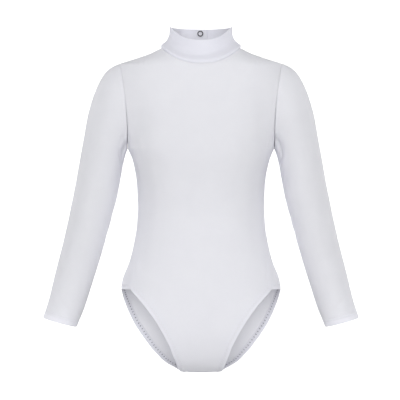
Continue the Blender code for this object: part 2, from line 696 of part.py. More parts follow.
def main():
    clear_scene()
    knit = material("white_knit", KNIT_WHITE, 0.75, 0.0)
    metal = material("dark_metal", SNAP_METAL, 0.35, 1.0)
    collection = bpy.data.collections.new("leotard")
    bpy.context.scene.collection.children.link(collection)

    outer, inner = panel_grid(FRONT_COLUMNS, back=False)
    cloth = [cloth_solid("front_panel", outer, inner)]
    outer, inner = panel_grid(BACK_COLUMNS, back=True)
    slit = np.zeros((outer.shape[0] - 1, outer.shape[1] - 1), bool)
    slit[:, BACK_COLUMNS] = outer[1:, BACK_COLUMNS, 2] > SLIT_BOTTOM_Z
    cloth.append(cloth_solid("back_panel", outer, inner, removed=slit))
    for name, side in (("sleeve_left", 1), ("sleeve_right", -1)):
        cloth.append(cloth_solid(name, *sleeve_grid(side), wrap=True))
    cloth.append(cloth_solid("collar", *collar_grid()))
    for piece in cloth:
        piece.data.materials.append(knit)
        collection.objects.link(piece)
    for piece in build_snap():
        piece.data.materials.append(metal)
        collection.objects.link(piece)


main()
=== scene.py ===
"""The look of the white gymnastics leotard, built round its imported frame."""

import math
from collections import namedtuple

import bpy
import numpy as np
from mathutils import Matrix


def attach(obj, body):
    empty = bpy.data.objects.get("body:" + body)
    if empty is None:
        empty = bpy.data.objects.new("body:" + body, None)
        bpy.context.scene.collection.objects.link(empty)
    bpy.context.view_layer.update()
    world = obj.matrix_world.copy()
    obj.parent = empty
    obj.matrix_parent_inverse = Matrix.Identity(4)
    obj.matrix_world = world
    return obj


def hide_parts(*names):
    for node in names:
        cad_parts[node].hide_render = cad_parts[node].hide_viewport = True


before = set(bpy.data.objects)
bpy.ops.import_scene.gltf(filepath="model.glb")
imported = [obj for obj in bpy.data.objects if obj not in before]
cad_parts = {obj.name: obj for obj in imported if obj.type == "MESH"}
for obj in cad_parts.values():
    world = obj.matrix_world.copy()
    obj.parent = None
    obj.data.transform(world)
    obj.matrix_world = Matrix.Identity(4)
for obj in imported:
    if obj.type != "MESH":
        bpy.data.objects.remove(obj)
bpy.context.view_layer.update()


# White knit: the stretch knit of nylon and elastane that every cloth piece is cut from.
# It is a fine, dense, matt jersey with a faint cool shade, dyed through and not printed.

MM = 0.001
KNIT_WHITE = (0.860, 0.858, 0.926)
KNIT_SHADE = (0.836, 0.834, 0.903)  # in the knit's grain
KNIT_ROUGHNESS = 0.62
KNIT_SHEEN = 0.08
LOOP = 0.55 * MM  # width of one knitted loop
PATCH, SPECK = 30 * MM, 2 * MM  # of the grain
LIGHT_REACH = 3 * MM  # how far light runs inside the knit


def knit_grain():
    """A node group: a grey grain and a height for a fine jersey. The grain is a soft noise in patches plus
    a fine one, and the height is the product of two sine waves a loop wide, plus the fine noise."""
    group = bpy.data.node_groups.new("knit grain", "ShaderNodeTree")
    group.interface.new_socket(name="Grain", in_out="OUTPUT", socket_type="NodeSocketFloat")
    group.interface.new_socket(name="Height", in_out="OUTPUT", socket_type="NodeSocketFloat")
    nodes, link = group.nodes, group.links.new
    place = nodes.new("ShaderNodeTexCoord").outputs["Object"]
    patch = nodes.new("ShaderNodeTexNoise")
    patch.inputs["Scale"].default_value = 1 / PATCH
    patch.inputs["Detail"].default_value = 2
    fine = nodes.new("ShaderNodeTexNoise")
    fine.inputs["Scale"].default_value = 1 / SPECK
    fine.inputs["Detail"].default_value = 4
    link(place, patch.inputs["Vector"])
    link(place, fine.inputs["Vector"])
    mix = nodes.new("ShaderNodeMath")
    mix.operation = "MULTIPLY_ADD"
    mix.inputs[1].default_value = 0.6
    link(patch.outputs["Fac"], mix.inputs[0])
    part = nodes.new("ShaderNodeMath")
    part.operation = "MULTIPLY"
    part.inputs[1].default_value = 0.4
    link(fine.outputs["Fac"], part.inputs[0])
    link(part.outputs[0], mix.inputs[2])
    wales = nodes.new("ShaderNodeTexWave")
    wales.bands_direction = "X"
    wales.inputs["Scale"].default_value = 1 / (LOOP * 2 * math.pi) * 2
    courses = nodes.new("ShaderNodeTexWave")
    courses.bands_direction = "Z"
    courses.inputs["Scale"].default_value = 1 / (LOOP * 2 * math.pi) * 2
    link(place, wales.inputs["Vector"])
    link(place, courses.inputs["Vector"])
    both = nodes.new("ShaderNodeMath")
    both.operation = "MULTIPLY"
    link(wales.outputs["Fac"], both.inputs[0])
    link(courses.outputs["Fac"], both.inputs[1])
    height = nodes.new("ShaderNodeMath")
    height.operation = "ADD"
    link(both.outputs[0], height.inputs[0])
    link(fine.outputs["Fac"], height.inputs[1])
    out = nodes.new("NodeGroupOutput")
    link(mix.outputs[0], out.inputs["Grain"])
    link(height.outputs[0], out.inputs["Height"])
    return group


GRAIN = knit_grain()


def knit(name, thin, painted_shade_factor=1.0):
    """Principled cloth whose colour runs between the knit's two whites with the grain. Thin is how much
    of its light comes from inside the knit, so how much passes from one side of the wall to the other.
    The painted shade factor darkens both whites; below one it paints shade on a piece, as on the collar."""
    made = bpy.data.materials.new(name)
    made.use_nodes = True
    nodes, link = made.node_tree.nodes, made.node_tree.links.new
    shader = nodes["Principled BSDF"]
    grain = nodes.new("ShaderNodeGroup")
    grain.node_tree = GRAIN
    ramp = nodes.new("ShaderNodeValToRGB")
    ramp.color_ramp.elements[0].position = 0.30
    ramp.color_ramp.elements[0].color = [painted_shade_factor * part for part in KNIT_SHADE] + [1]
    ramp.color_ramp.elements[1].position = 0.70
    ramp.color_ramp.elements[1].color = [painted_shade_factor * part for part in KNIT_WHITE] + [1]
    bump = nodes.new("ShaderNodeBump")
    bump.inputs["Strength"].default_value = 0.25
    bump.inputs["Distance"].default_value = 0.1 * MM
    link(grain.outputs["Grain"], ramp.inputs["Fac"])
    link(ramp.outputs["Color"], shader.inputs["Base Color"])
    link(grain.outputs["Height"], bump.inputs["Height"])
    link(bump.outputs["Normal"], shader.inputs["Normal"])
    shader.inputs["Roughness"].default_value = KNIT_ROUGHNESS
    shader.inputs["Sheen Weight"].default_value = KNIT_SHEEN
    shader.inputs["Sheen Roughness"].default_value = 0.4
    shader.inputs["Subsurface Weight"].default_value = thin
    shader.inputs["Subsurface Radius"].default_value = (1, 1, 1)
    shader.inputs["Subsurface Scale"].default_value = LIGHT_REACH
    shader.inputs["Specular IOR Level"].default_value = 0.3
    return made


CLOTH = knit("white knit", thin=0.8)


# Front panel: one piece of the knit, cut from the crotch to the shoulder and neck seams.
# Its leg edges are turned over elastic and held by a zigzag stitch. It is worn stretched over the body.

WALL = 1.0 * MM
HEM_WALL = 1.9 * MM
HEM_WIDTH, HEM_STEP, HEM_RISE = 9 * MM, 1.2 * MM, 0.35 * MM  # of the turned leg edge
CLOSED_SEAM = 0.04 * MM  # how far the cloth sinks at the armhole seam
ALLOWANCE_AT, ALLOWANCE_HIGH, ALLOWANCE_FADE = 3.2 * MM, 0.7 * MM, 60 * MM  # of the seam allowance inside it
NECK_POINT_Z, TIP_Z, ARMPIT_Z, LEG_TOP_Z, CROTCH_Z = 2 * MM, -21 * MM, -148.5 * MM, -357 * MM, -484 * MM
SIDE, BACK = math.pi / 2, math.pi
BOWL_FRONT, BOWL_BACK, CROTCH_LIFT, CROTCH_HALF = 2.2, 2.5, 1.9 * MM, 31 * MM
CENTRE_TOP = {False: -335 * MM, True: -295 * MM}  # of the front and of the back
NECK_HALF, NECK_FRONT_Z, NECK_BACK_Z, NECK_DIP = 60 * MM, -23.5 * MM, -1 * MM, 2.3
FINE = 7  # visual columns and rows to each of the frame's
EDGE_SHARE = 0.996  # of the way across, where a line beside each edge keeps its rounding narrow
FRONT_COLUMNS, BACK_COLUMNS, NECK_COLUMNS = 12 * FINE, 14 * FINE, 8 * FINE
LEG_ROWS, SIDE_ROWS, CHEST_ROWS = 10 * FINE, 9 * FINE, 10 * FINE
Station = namedtuple("Station", "z value")
SHOULDER = [Station(-21, 121), Station(-18, 111), Station(-12, 92.5), Station(-6, 76), Station(2, 60)]
TORSO = [
    Station(-484, 88), Station(-470, 112), Station(-447, 133), Station(-423, 137), Station(-398, 131),
    Station(-373, 123), Station(-357, 119), Station(-350, 118.8), Station(-338, 115.6), Station(-318, 107.5),
    Station(-290, 100.5), Station(-262, 96.2), Station(-236, 95.2), Station(-204, 96.2), Station(-180, 99.5),
    Station(-160, 105), Station(-148.5, 110),
]
Depth = namedtuple("Depth", "z front back full")
DEPTHS = [
    Depth(-357, 69.0, 79.0, 0.045), Depth(-320, 68.5, 72.0, 0.040), Depth(-285, 66.5, 60.0, 0.035),
    Depth(-240, 62.5, 53.0, 0.035), Depth(-200, 63.5, 58.5, 0.060), Depth(-150, 67.0, 67.5, 0.105),
    Depth(-110, 66.5, 70.0, 0.115), Depth(-70, 63.0, 68.5, 0.110), Depth(-40, 58.0, 64.0, 0.095),
    Depth(-22, 54.0, 58.0, 0.080), Depth(-8, 47.5, 51.5, 0.060), Depth(2, 42.0, 46.0, 0.050),
]
SIDE_SEAM = [
    Station(-357, 58), Station(-345, 61), Station(-330, 67), Station(-318, 72), Station(-305, 77),
    Station(-285, 83), Station(-260, 88), Station(-235, 90), Station(-148.5, 90),
]
LEG_FRONT = [
    Station(-484, 31), Station(-480, 32), Station(-465, 37), Station(-447, 43.5), Station(-428, 52),
    Station(-407.5, 63.5), Station(-383, 81), Station(-369, 93.5), Station(-362, 100), Station(-357, 103.7),
]
LEG_BACK = [
    Station(-484, 31), Station(-480.5, 40), Station(-476.5, 49.3), Station(-471, 57.5), Station(-459, 69),
    Station(-447, 79), Station(-435, 88), Station(-423, 96), Station(-411, 103), Station(-398, 109),
    Station(-386, 113.5), Station(-373, 117.4), Station(-365.5, 118.8),
]
LEG_SIDE = ((90, -360.0), (74, -357.6))
SLIT_HALF = 0.7 * MM


def through(places, values):
    """A smooth curve through points: a cubic between each two, with weighted harmonic mean slopes."""
    place, value = np.asarray(places, float), np.asarray(values, float)
    step = np.diff(place)
    rise = np.diff(value) / step
    slope = np.concatenate([rise[:1], np.zeros(len(place) - 2), rise[-1:]])
    before, after = 2 * step[1:] + step[:-1], step[1:] + 2 * step[:-1]
    same = rise[:-1] * rise[1:] > 0
    weighted = before[same] / rise[:-1][same] + after[same] / rise[1:][same]
    slope[1:-1][same] = (before + after)[same] / weighted

    def at(where):
        where = np.asarray(where, float)
        i = np.clip(np.searchsorted(place, where) - 1, 0, len(step) - 1)
        t = (where - place[i]) / step[i]
        return (
            value[i] * (1 + 2 * t) * (1 - t) ** 2
            + value[i + 1] * t**2 * (3 - 2 * t)
            + step[i] * (slope[i] * t * (1 - t) ** 2 - slope[i + 1] * t**2 * (1 - t))
        )

    return at


def column(table, name="value", scale=MM):
    """The smooth curve of one column of a table against height."""
    return through([row.z * MM for row in table], [getattr(row, name) * scale for row in table])


shoulder_half, torso_half = column(SHOULDER), column(TORSO)
depth_of = {False: column(DEPTHS, "front"), True: column(DEPTHS, "back")}
fullness = column(DEPTHS, "full", 1)
seam_angle = column(SIDE_SEAM, scale=math.pi / 180)


def depth(z, back):
    """Depth of the body: from the table, and below the leg tops times the root of one less a power of the
    drop."""
    drop = np.clip((LEG_TOP_Z - z) / (LEG_TOP_Z - CROTCH_Z), 0, 1)
    return depth_of[back](np.maximum(z, LEG_TOP_Z)) * np.sqrt(1 - drop ** (BOWL_BACK if back else BOWL_FRONT))


def swell(angle, z):
    """One plus the fullness times the squared sine of twice the angle."""
    return 1 + fullness(z) * np.sin(2 * angle) ** 2


def angle_where(share, z, of):
    """The angle of a quarter turn at which sine or cosine times the swell is a share, by halving."""
    share, z = np.broadcast_arrays(np.asarray(share, float), np.asarray(z, float))
    low, high = np.zeros(share.shape), np.full(share.shape, SIDE)
    for _ in range(40):
        middle = (low + high) / 2
        past = (of(middle) * swell(middle, z) > share) == (of is np.sin)
        low, high = np.where(past, low, middle), np.where(past, middle, high)
    return (low + high) / 2


def armhole(z):
    """The armhole seam: its distance from the middle of the body, leaning and bowed, and the half width
    of its oval."""
    along = np.clip((2 * z - TIP_Z - ARMPIT_Z) / (TIP_Z - ARMPIT_Z), -1, 1)
    round_part = 1 - along**2
    return 115.5 * MM + 5.5 * MM * along - 3.5 * MM * round_part, 43 * MM * np.sqrt(round_part)


def half_width(z, deep):
    """Half width from the tables; beside an armhole, that of the section which passes through its seam."""
    hole_x, hole_y = armhole(z)
    meets = angle_where(hole_y / deep, z, np.cos)
    plain = np.where(z <= ARMPIT_Z, torso_half(z), shoulder_half(np.maximum(z, TIP_Z)))
    return np.where((z > ARMPIT_Z) & (z < TIP_Z), hole_x / (np.sin(meets) * swell(meets, z)), plain)


def body(angle, z):
    """The body: half width times sine, and depth times cosine of the angle, both times the swell."""
    angle, z = np.broadcast_arrays(np.asarray(angle, float), np.asarray(z, float))
    deep = np.where(np.abs(angle) > SIDE, depth(z, True), depth(z, False))
    full = swell(angle, z)
    x = half_width(z, np.maximum(deep, 1e-6)) * np.sin(angle) * full
    drop = np.clip((LEG_TOP_Z - z) / (LEG_TOP_Z - CROTCH_Z), 0, 1)
    lift = CROTCH_LIFT * (x / CROTCH_HALF) ** 2 * drop**10
    return np.stack([x, -deep * np.cos(angle) * full, z + lift], axis=-1)


def unit(vectors):
    """Vectors divided by their lengths."""
    return vectors / np.maximum(np.linalg.norm(vectors, axis=-1, keepdims=True), 1e-12)


def body_normal(angle, z):
    """The cross product of small steps round the body and up it."""
    step = np.minimum(1e-5, 0.1 * (z - CROTCH_Z))
    round_step = body(angle + 1e-4, z) - body(angle - 1e-4, z)
    return unit(np.cross(round_step, body(angle, z + step) - body(angle, z - step)))


def angle_at(x, z, back):
    """Angle from the centre at which a section is x wide."""
    return angle_where(x / half_width(z, np.maximum(depth(z, back), 1e-6)), z, np.sin)


def neck_seam(turn, back):
    """Distance from the middle and height of the neck seam: a sine across, and a power of it upward."""
    if back:
        return NECK_HALF * np.sin(turn), NECK_POINT_Z + (NECK_BACK_Z - NECK_POINT_Z) * np.cos(turn) ** 2
    return NECK_HALF * np.sin(turn), NECK_FRONT_Z + (NECK_POINT_Z - NECK_FRONT_Z) * np.sin(turn) ** NECK_DIP


def leg_edge(share, back):
    """Angle and height at shares of the way along a leg edge, from the crotch to the side seam."""
    table = LEG_BACK if back else LEG_FRONT
    heights = np.array([row.z * MM for row in table])
    angles = angle_at(np.array([row.value * MM for row in table]), heights, back)
    if back:
        ends = LEG_SIDE + ((math.degrees(seam_angle(LEG_TOP_Z)), LEG_TOP_Z / MM),)
        angles = np.concatenate([angles, [BACK - math.radians(a) for a, _ in ends]])
        heights = np.concatenate([heights, [z * MM for _, z in ends]])
    else:
        angles[-1] = seam_angle(LEG_TOP_Z)
    points = body(BACK - angles if back else angles, heights)
    along = np.concatenate([[0], np.cumsum(np.linalg.norm(np.diff(points, axis=0), axis=1))])
    return through(along / along[-1], angles)(share), through(along / along[-1], heights)(share)


def settle(target, angle, z, back):
    """Angles from the centre and heights of the body's points nearest to targets, by least squares steps."""
    step = 1e-5

    def at(angle, z):
        return body(BACK - angle if back else angle, z)

    for _ in range(12):
        miss = target - at(angle, z)
        round_step = (at(angle + step, z) - at(angle - step, z)) / (2 * step)
        up_step = (at(angle, z + step) - at(angle, z - step)) / (2 * step)
        aa, uu, au = (round_step**2).sum(-1), (up_step**2).sum(-1), (round_step * up_step).sum(-1)
        am, um = (round_step * miss).sum(-1), (up_step * miss).sum(-1)
        spread = np.maximum(aa * uu - au**2, 1e-12)
        angle = angle + 0.6 * (am * uu - um * au) / spread
        z = z + 0.6 * (um * aa - am * au) / spread
    return angle, z


def chest_rows(columns, back):
    """Rows from the armpits to the shoulder and neck seams: the sum of the two ruled surfaces between
    opposite edges less the flat one of the corners, settled onto the body by least squares steps."""
    across = np.linspace(0, 1, columns + 1)
    across[-2] = EDGE_SHARE
    turn = SIDE * across[: NECK_COLUMNS + 1] / across[NECK_COLUMNS]
    neck_x, neck_z = neck_seam(turn, back)
    slope = (across[NECK_COLUMNS:] - across[NECK_COLUMNS]) / (1 - across[NECK_COLUMNS])
    top_angle = np.concatenate([angle_at(neck_x, neck_z, back)[:-1], np.full(len(slope), SIDE)])
    top_z = np.concatenate([neck_z[:-1], NECK_POINT_Z + (TIP_Z - NECK_POINT_Z) * slope])
    up = np.linspace(0, 1, CHEST_ROWS + 1)[:, None]
    up[-2] = EDGE_SHARE
    edge_z = ARMPIT_Z + (TIP_Z - ARMPIT_Z) * (1 - np.cos(math.pi * up)) / 2
    edge_angle = angle_where(armhole(edge_z)[1] / depth(edge_z, back), edge_z, np.cos)
    centre_z = ARMPIT_Z + (neck_z[0] - ARMPIT_Z) * up

    def at(angle, z):
        return body(BACK - angle if back else angle, z)

    low, high = at(SIDE * across, ARMPIT_Z), at(top_angle, top_z)
    middle, edge = at(0, centre_z), at(edge_angle, edge_z)
    v, u = up[..., None], across[None, :, None]
    target = (1 - v) * low + v * high + (1 - u) * middle + u * edge
    target = target - (1 - u) * ((1 - v) * low[0] + v * high[0]) - u * ((1 - v) * low[-1] + v * high[-1])
    z = (1 - up) * ARMPIT_Z + up * top_z + across * (edge_z - (1 - up) * ARMPIT_Z - up * TIP_Z)
    z = np.clip(z, ARMPIT_Z, np.maximum(top_z - 2 * MM * (1 - up), ARMPIT_Z))
    angle = (1 - up) * SIDE * across + up * top_angle + across * (edge_angle - SIDE)
    angle, z = np.broadcast_to(angle, target.shape[:2]).copy(), z.copy()
    inside = (slice(1, -1), slice(1, -1))
    angle[inside], z[inside] = settle(target[inside], angle[inside], z[inside], back)
    angle[:, -1], z[:, -1] = edge_angle[:, 0], edge_z[:, 0]
    angle[:, 0], z[:, 0] = 0, centre_z[:, 0]
    angle[0], z[0] = SIDE * across, ARMPIT_Z
    angle[-1], z[-1] = top_angle, top_z
    return angle, z


def half_panel(columns, back):
    """Angles from the centre and heights of a half panel's points.

    Rows run from the centre line to the edge, their heights easing to the edge's by a power of 2.5."""
    across = np.linspace(0, 1, columns + 1)
    across[-2] = EDGE_SHARE
    up = np.linspace(0, 1, LEG_ROWS + 1)[:-1]
    centre_z = CROTCH_Z + (CENTRE_TOP[back] - CROTCH_Z) * up**1.7
    centre_z[0] = CROTCH_Z + 1e-8
    edge_angle, edge_z = leg_edge(np.maximum(up**1.15, 1e-5), back)
    edge_z[0] = centre_z[0]
    steps = np.linspace(0, 1, SIDE_ROWS + 1)[:-1]
    side_z = LEG_TOP_Z + (ARMPIT_Z - LEG_TOP_Z) * steps
    side_angle = BACK - seam_angle(side_z) if back else seam_angle(side_z)
    edge_angle = np.concatenate([edge_angle, side_angle])[:, None]
    edge_z = np.concatenate([edge_z, side_z])[:, None]
    centre_z = np.concatenate([centre_z, CENTRE_TOP[back] + (ARMPIT_Z - CENTRE_TOP[back]) * steps])[:, None]
    chest_angle, chest_z = chest_rows(columns, back)
    angle = np.concatenate([edge_angle * across, chest_angle])
    z = np.concatenate([centre_z + (edge_z - centre_z) * across**2.5, chest_z])
    if back:
        angle[:, 1] = np.arcsin(SLIT_HALF / half_width(z[:, 1], depth(z[:, 1], True)))
    return angle, z


def to_lines(points, lines):
    """Distance of every point to the nearest of some polylines."""
    flat = points.reshape(-1, 3)
    best = np.full(len(flat), np.inf)
    for line in lines:
        for a, b in zip(line[:-1], line[1:]):
            t = np.clip((flat - a) @ (b - a) / ((b - a) @ (b - a)), 0, 1)
            best = np.minimum(best, np.linalg.norm(flat - a - t[:, None] * (b - a), axis=1))
    return best.reshape(points.shape[:-1])


def cloth_piece(name, outer, normal, wall, wrap=False, kept=None):
    """A shell from a grid of outer points, their normals and the wall there. The inner side lies a wall
    inside. Every free edge is rounded by two lines of points that stand a third of a wall beyond it."""
    rows, columns = outer.shape[:2]
    across = columns if wrap else columns - 1
    number = np.arange(rows * columns).reshape(rows, columns)
    if wrap:
        number = np.concatenate([number, number[:, :1]], axis=1)
    cells = np.stack([number[:-1, :-1], number[:-1, 1:], number[1:, 1:], number[1:, :-1]], axis=-1)
    cells = cells.reshape(-1, 4) if kept is None else cells[kept]
    points, n = outer.reshape(-1, 3), normal.reshape(-1, 3)
    thick = np.broadcast_to(wall, (rows, columns)).reshape(-1, 1)
    first = points[cells[:, 1]] - points[cells[:, 0]]
    if (np.cross(first, points[cells[:, 3]] - points[cells[:, 0]]) * n[cells[:, 0]]).sum() < 0:
        cells = cells[:, ::-1]
    start, end = cells.ravel(), np.roll(cells, -1, axis=1).ravel()
    count = len(points)
    free = ~np.isin(start * count + end, end * count + start)
    start, end = start[free], end[free]
    beyond = np.zeros_like(points)
    out = unit(np.cross(points[end] - points[start], n[start]))
    np.add.at(beyond, start, out)
    np.add.at(beyond, end, out)
    rim, place = np.unique(np.concatenate([start, end]), return_inverse=True)
    start_rim, end_rim = place[: len(start)], place[len(start) :]
    swing = unit(beyond[rim]) * thick[rim] * 0.34
    near = points[rim] - 0.22 * thick[rim] * n[rim] + swing
    far = points[rim] - 0.78 * thick[rim] * n[rim] + swing
    verts = np.concatenate([points, points - thick * n, near, far])
    near_at, far_at = 2 * count, 2 * count + len(rim)
    faces = [cells, cells[:, ::-1] + count]
    lines = [(start, end), (near_at + start_rim, near_at + end_rim), (far_at + start_rim, far_at + end_rim)]
    lines.append((count + start, count + end))
    for (start_a, end_a), (start_b, end_b) in zip(lines[:-1], lines[1:]):
        faces.append(np.stack([end_a, start_a, start_b, end_b], axis=1))
    faces = np.concatenate(faces)
    mesh = bpy.data.meshes.new(name)
    mesh.vertices.add(len(verts))
    mesh.vertices.foreach_set("co", verts.ravel())
    mesh.loops.add(faces.size)
    mesh.loops.foreach_set("vertex_index", faces.ravel().astype(np.int32))
    mesh.polygons.add(len(faces))
    mesh.polygons.foreach_set("loop_start", np.arange(0, faces.size, 4, dtype=np.int32))
    mesh.update(calc_edges=True)
    mesh.shade_smooth()
    piece = bpy.data.objects.new(name, mesh)
    bpy.context.scene.collection.objects.link(piece)
    return piece


Crease = namedtuple("Crease", "x1 z1 x2 z2 width high")
FRONT_CREASES = [
    Crease(104, -132, 101, -164, 2.0, -1.0), Crease(99.5, -128, 97, -166, 2.2, -0.9),
    Crease(94.5, -134, 92, -172, 2.4, -0.8), Crease(107, -120, 104, -136, 3.0, 0.6),
    Crease(97, -64, 93, -154, 16.0, -3.2), Crease(89, -150, 81, -268, 14.0, -2.7),
    Crease(98, -311, 97.5, -349, 1.7, -0.55), Crease(96, -250, 70, -262, 9.0, -0.5),
    Crease(92, -212, 60, -205, 11.0, -0.4), Crease(84, -270, 84, -318, 12.0, -1.2),
    Crease(88, -352, 58, -330, 8.0, 0.5), Crease(60, -400, 30, -372, 9.0, 0.6),
    Crease(44, -440, 12, -420, 8.0, 0.5), Crease(30, -474, 0, -462, 6.0, 0.4),
]


def creases(points, table, lean=0.0):
    """Rise of the cloth in metres: for each row of the table, its height times a bell of the distance to its
    line in front view over its width, fading toward its ends. Lean moves the mirrored ones a little."""
    rise = np.zeros(points.shape[:-1])
    for i, row in enumerate(table):
        for side in (1, -1):
            shift = lean * math.sin(5 * i + 2 * side)
            a = np.array([side * (row.x1 + shift), row.z1 + shift]) * MM
            b = np.array([side * (row.x2 - shift), row.z2 + shift]) * MM
            flat = points[..., [0, 2]]
            t = (flat - a) @ (b - a) / ((b - a) @ (b - a))
            off = np.linalg.norm(flat - a - np.clip(t, 0, 1)[..., None] * (b - a), axis=-1)
            fade = np.clip(1.3 - np.abs(2 * t - 1), 0, 1)
            rise += row.high * MM * np.exp(-((off / (row.width * MM)) ** 2)) * fade
    return rise


def seam_roll(distance, deep=0.35 * MM, wide=1.6 * MM):
    """How far the cloth sinks beside a seam: a depth times a bell of the distance over a width."""
    return -deep * np.exp(-((distance / wide) ** 2))


def panel(columns, back, table):
    """The outer points, normals and walls of a whole panel. The cloth sinks along its side, shoulder, neck
    and crotch seams, stands up over the seam allowance beside the armhole, more toward the shoulder, and
    is thicker where it is turned at the legs, with a line where its stitches pull it in."""
    angle, z = half_panel(columns, back)
    if back:
        angle = BACK - angle
    angle = np.concatenate([-angle[:, :0:-1], angle], axis=1)
    z = np.concatenate([z[:, :0:-1], z], axis=1)
    outer, normal = body(angle, z), body_normal(angle, z)
    armpit = LEG_ROWS + SIDE_ROWS
    seams = [outer[LEG_ROWS : armpit + 1, 0], outer[LEG_ROWS : armpit + 1, -1], outer[-1]]
    to_seam = to_lines(outer, [line[::3] for line in seams])
    to_crotch = to_lines(outer, [outer[0][:: len(outer[0]) // 8]])
    to_armhole = to_lines(outer, [outer[armpit::2, 0], outer[armpit::2, -1]])
    to_leg = to_lines(outer, [outer[: LEG_ROWS + 1 : 2, 0], outer[: LEG_ROWS + 1 : 2, -1]])
    rise = creases(outer, table, lean=1.5) + seam_roll(to_seam) + seam_roll(to_crotch)
    rise += seam_roll(to_armhole, CLOSED_SEAM)
    toward_shoulder = np.clip((z - ARMPIT_Z) / ALLOWANCE_FADE, 0, 1)
    rise -= seam_roll(to_armhole - ALLOWANCE_AT, ALLOWANCE_HIGH, 1.8 * MM) * toward_shoulder
    hem = np.clip((HEM_WIDTH - to_leg) / HEM_STEP, 0, 1)
    hem = hem * hem * (3 - 2 * hem)
    rise += HEM_RISE * hem + seam_roll(to_leg - HEM_WIDTH * 0.78, 0.25 * MM, 0.9 * MM)
    wall = WALL + (HEM_WALL - WALL) * hem
    return outer + rise[..., None] * normal, normal, wall


front_outer, front_normal, front_wall = panel(FRONT_COLUMNS, False, FRONT_CREASES)
front = cloth_piece("front_panel_cloth", front_outer, front_normal, front_wall)
front.data.materials.append(CLOTH)
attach(front, "root")
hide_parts("front_panel")


# Back panel: one piece of the same knit, with a short slit at the centre back that lets the head through.
# Its leg edges are turned over elastic like the front's, and it is fuller over the seat.

SLIT_BOTTOM_Z = -78 * MM
BACK_CREASES = [
    Crease(103, -140, 100, -170, 2.4, -0.8), Crease(96, -144, 92, -178, 2.8, -0.6),
    Crease(94, -236, 56, -250, 10.0, -0.8), Crease(90, -216, 48, -224, 11.0, -0.6),
    Crease(70, -262, 20, -270, 12.0, -0.5), Crease(52, -300, 10, -318, 14.0, 0.5),
    Crease(60, -452, 22, -436, 8.0, 0.7), Crease(44, -470, 12, -458, 7.0, 0.5),
    Crease(4, -84, 30, -120, 7.0, 0.5),
]
back_outer, back_normal, back_wall = panel(BACK_COLUMNS, True, BACK_CREASES)
slit_kept = np.ones((back_outer.shape[0] - 1, back_outer.shape[1] - 1), bool)
in_slit = back_outer[:-1, BACK_COLUMNS, 2] > SLIT_BOTTOM_Z
slit_kept[in_slit, BACK_COLUMNS - 1 : BACK_COLUMNS + 1] = False
back = cloth_piece("back_panel_cloth", back_outer, back_normal, back_wall, kept=slit_kept)
back.data.materials.append(knit("white knit over the seat", thin=1.0))
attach(back, "root")
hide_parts("back_panel")


# Leg elastics: the stitches that hold the turned leg edges over their elastic, sunk a little in the knit.
# Outside they are a fine zigzag of white polyester thread, inside short thick loops of woolly thread, painted
# dark grey as the shade of the dimples they sink in.

THREAD_RADIUS, INSIDE_RADIUS = 0.22 * MM, 0.5 * MM
ZIGZAG_STEP, ZIGZAG_NEAR, ZIGZAG_FAR = 2.3 * MM, 3.4 * MM, 7.6 * MM  # near and far are from the leg edge
INSIDE_STEP, INSIDE_NEAR, INSIDE_FAR = 5.2 * MM, 3.8 * MM, 6.4 * MM


def thread_material(name, colour):
    """A thread whose shade runs with a noise along it."""
    made = bpy.data.materials.new(name)
    made.use_nodes = True
    nodes, link = made.node_tree.nodes, made.node_tree.links.new
    shader = nodes["Principled BSDF"]
    place = nodes.new("ShaderNodeTexCoord").outputs["Object"]
    noise = nodes.new("ShaderNodeTexNoise")
    noise.inputs["Scale"].default_value = 1 / (1.5 * MM)
    ramp = nodes.new("ShaderNodeValToRGB")
    ramp.color_ramp.elements[0].color = [c * 0.86 for c in colour] + [1]
    ramp.color_ramp.elements[1].color = [*colour, 1]
    link(place, noise.inputs["Vector"])
    link(noise.outputs["Fac"], ramp.inputs["Fac"])
    link(ramp.outputs["Color"], shader.inputs["Base Color"])
    shader.inputs["Roughness"].default_value = 0.5
    return made


THREAD_WHITE = thread_material("white thread", (0.86, 0.86, 0.90))
# Dark grey is painted shade: it stands for the shade in the dimples where the inside stitches sink.
INSIDE_THREAD_PAINTED_SHADE = thread_material("inside thread in painted shade", (0.26, 0.26, 0.31))


def stitches(name, starts, ends, outward, radius=THREAD_RADIUS, thread=THREAD_WHITE, sides=6):
    """Short threads from starts to ends. Each is a tube of four rings whose middle two stand a radius out
    of the cloth and whose end two sink under it; the rings are circles square to the thread."""
    along = unit(ends - starts)
    across = unit(np.cross(along, outward))
    up = np.cross(across, along)
    share = np.array([0.0, 0.2, 0.8, 1.0])
    rise = np.array([-0.9, 0.55, 0.55, -0.9]) * radius
    middle = starts[:, None] + share[:, None] * (ends - starts)[:, None] + rise[:, None] * up[:, None]
    turn = np.arange(sides) * 2 * math.pi / sides
    ring = np.cos(turn)[:, None] * across[:, None, None] + np.sin(turn)[:, None] * up[:, None, None]
    verts = middle[:, :, None] + radius * ring
    count = len(starts)
    number = np.arange(count * 4 * sides).reshape(count, 4, sides)
    turned = np.roll(number, -1, axis=2)
    faces = np.stack([number[:, :-1], turned[:, :-1], turned[:, 1:], number[:, 1:]], axis=-1).reshape(-1, 4)
    mesh = bpy.data.meshes.new(name)
    mesh.from_pydata(verts.reshape(-1, 3).tolist(), [], faces.tolist())
    mesh.shade_smooth()
    piece = bpy.data.objects.new(name, mesh)
    bpy.context.scene.collection.objects.link(piece)
    piece.data.materials.append(thread)
    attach(piece, "root")
    return piece


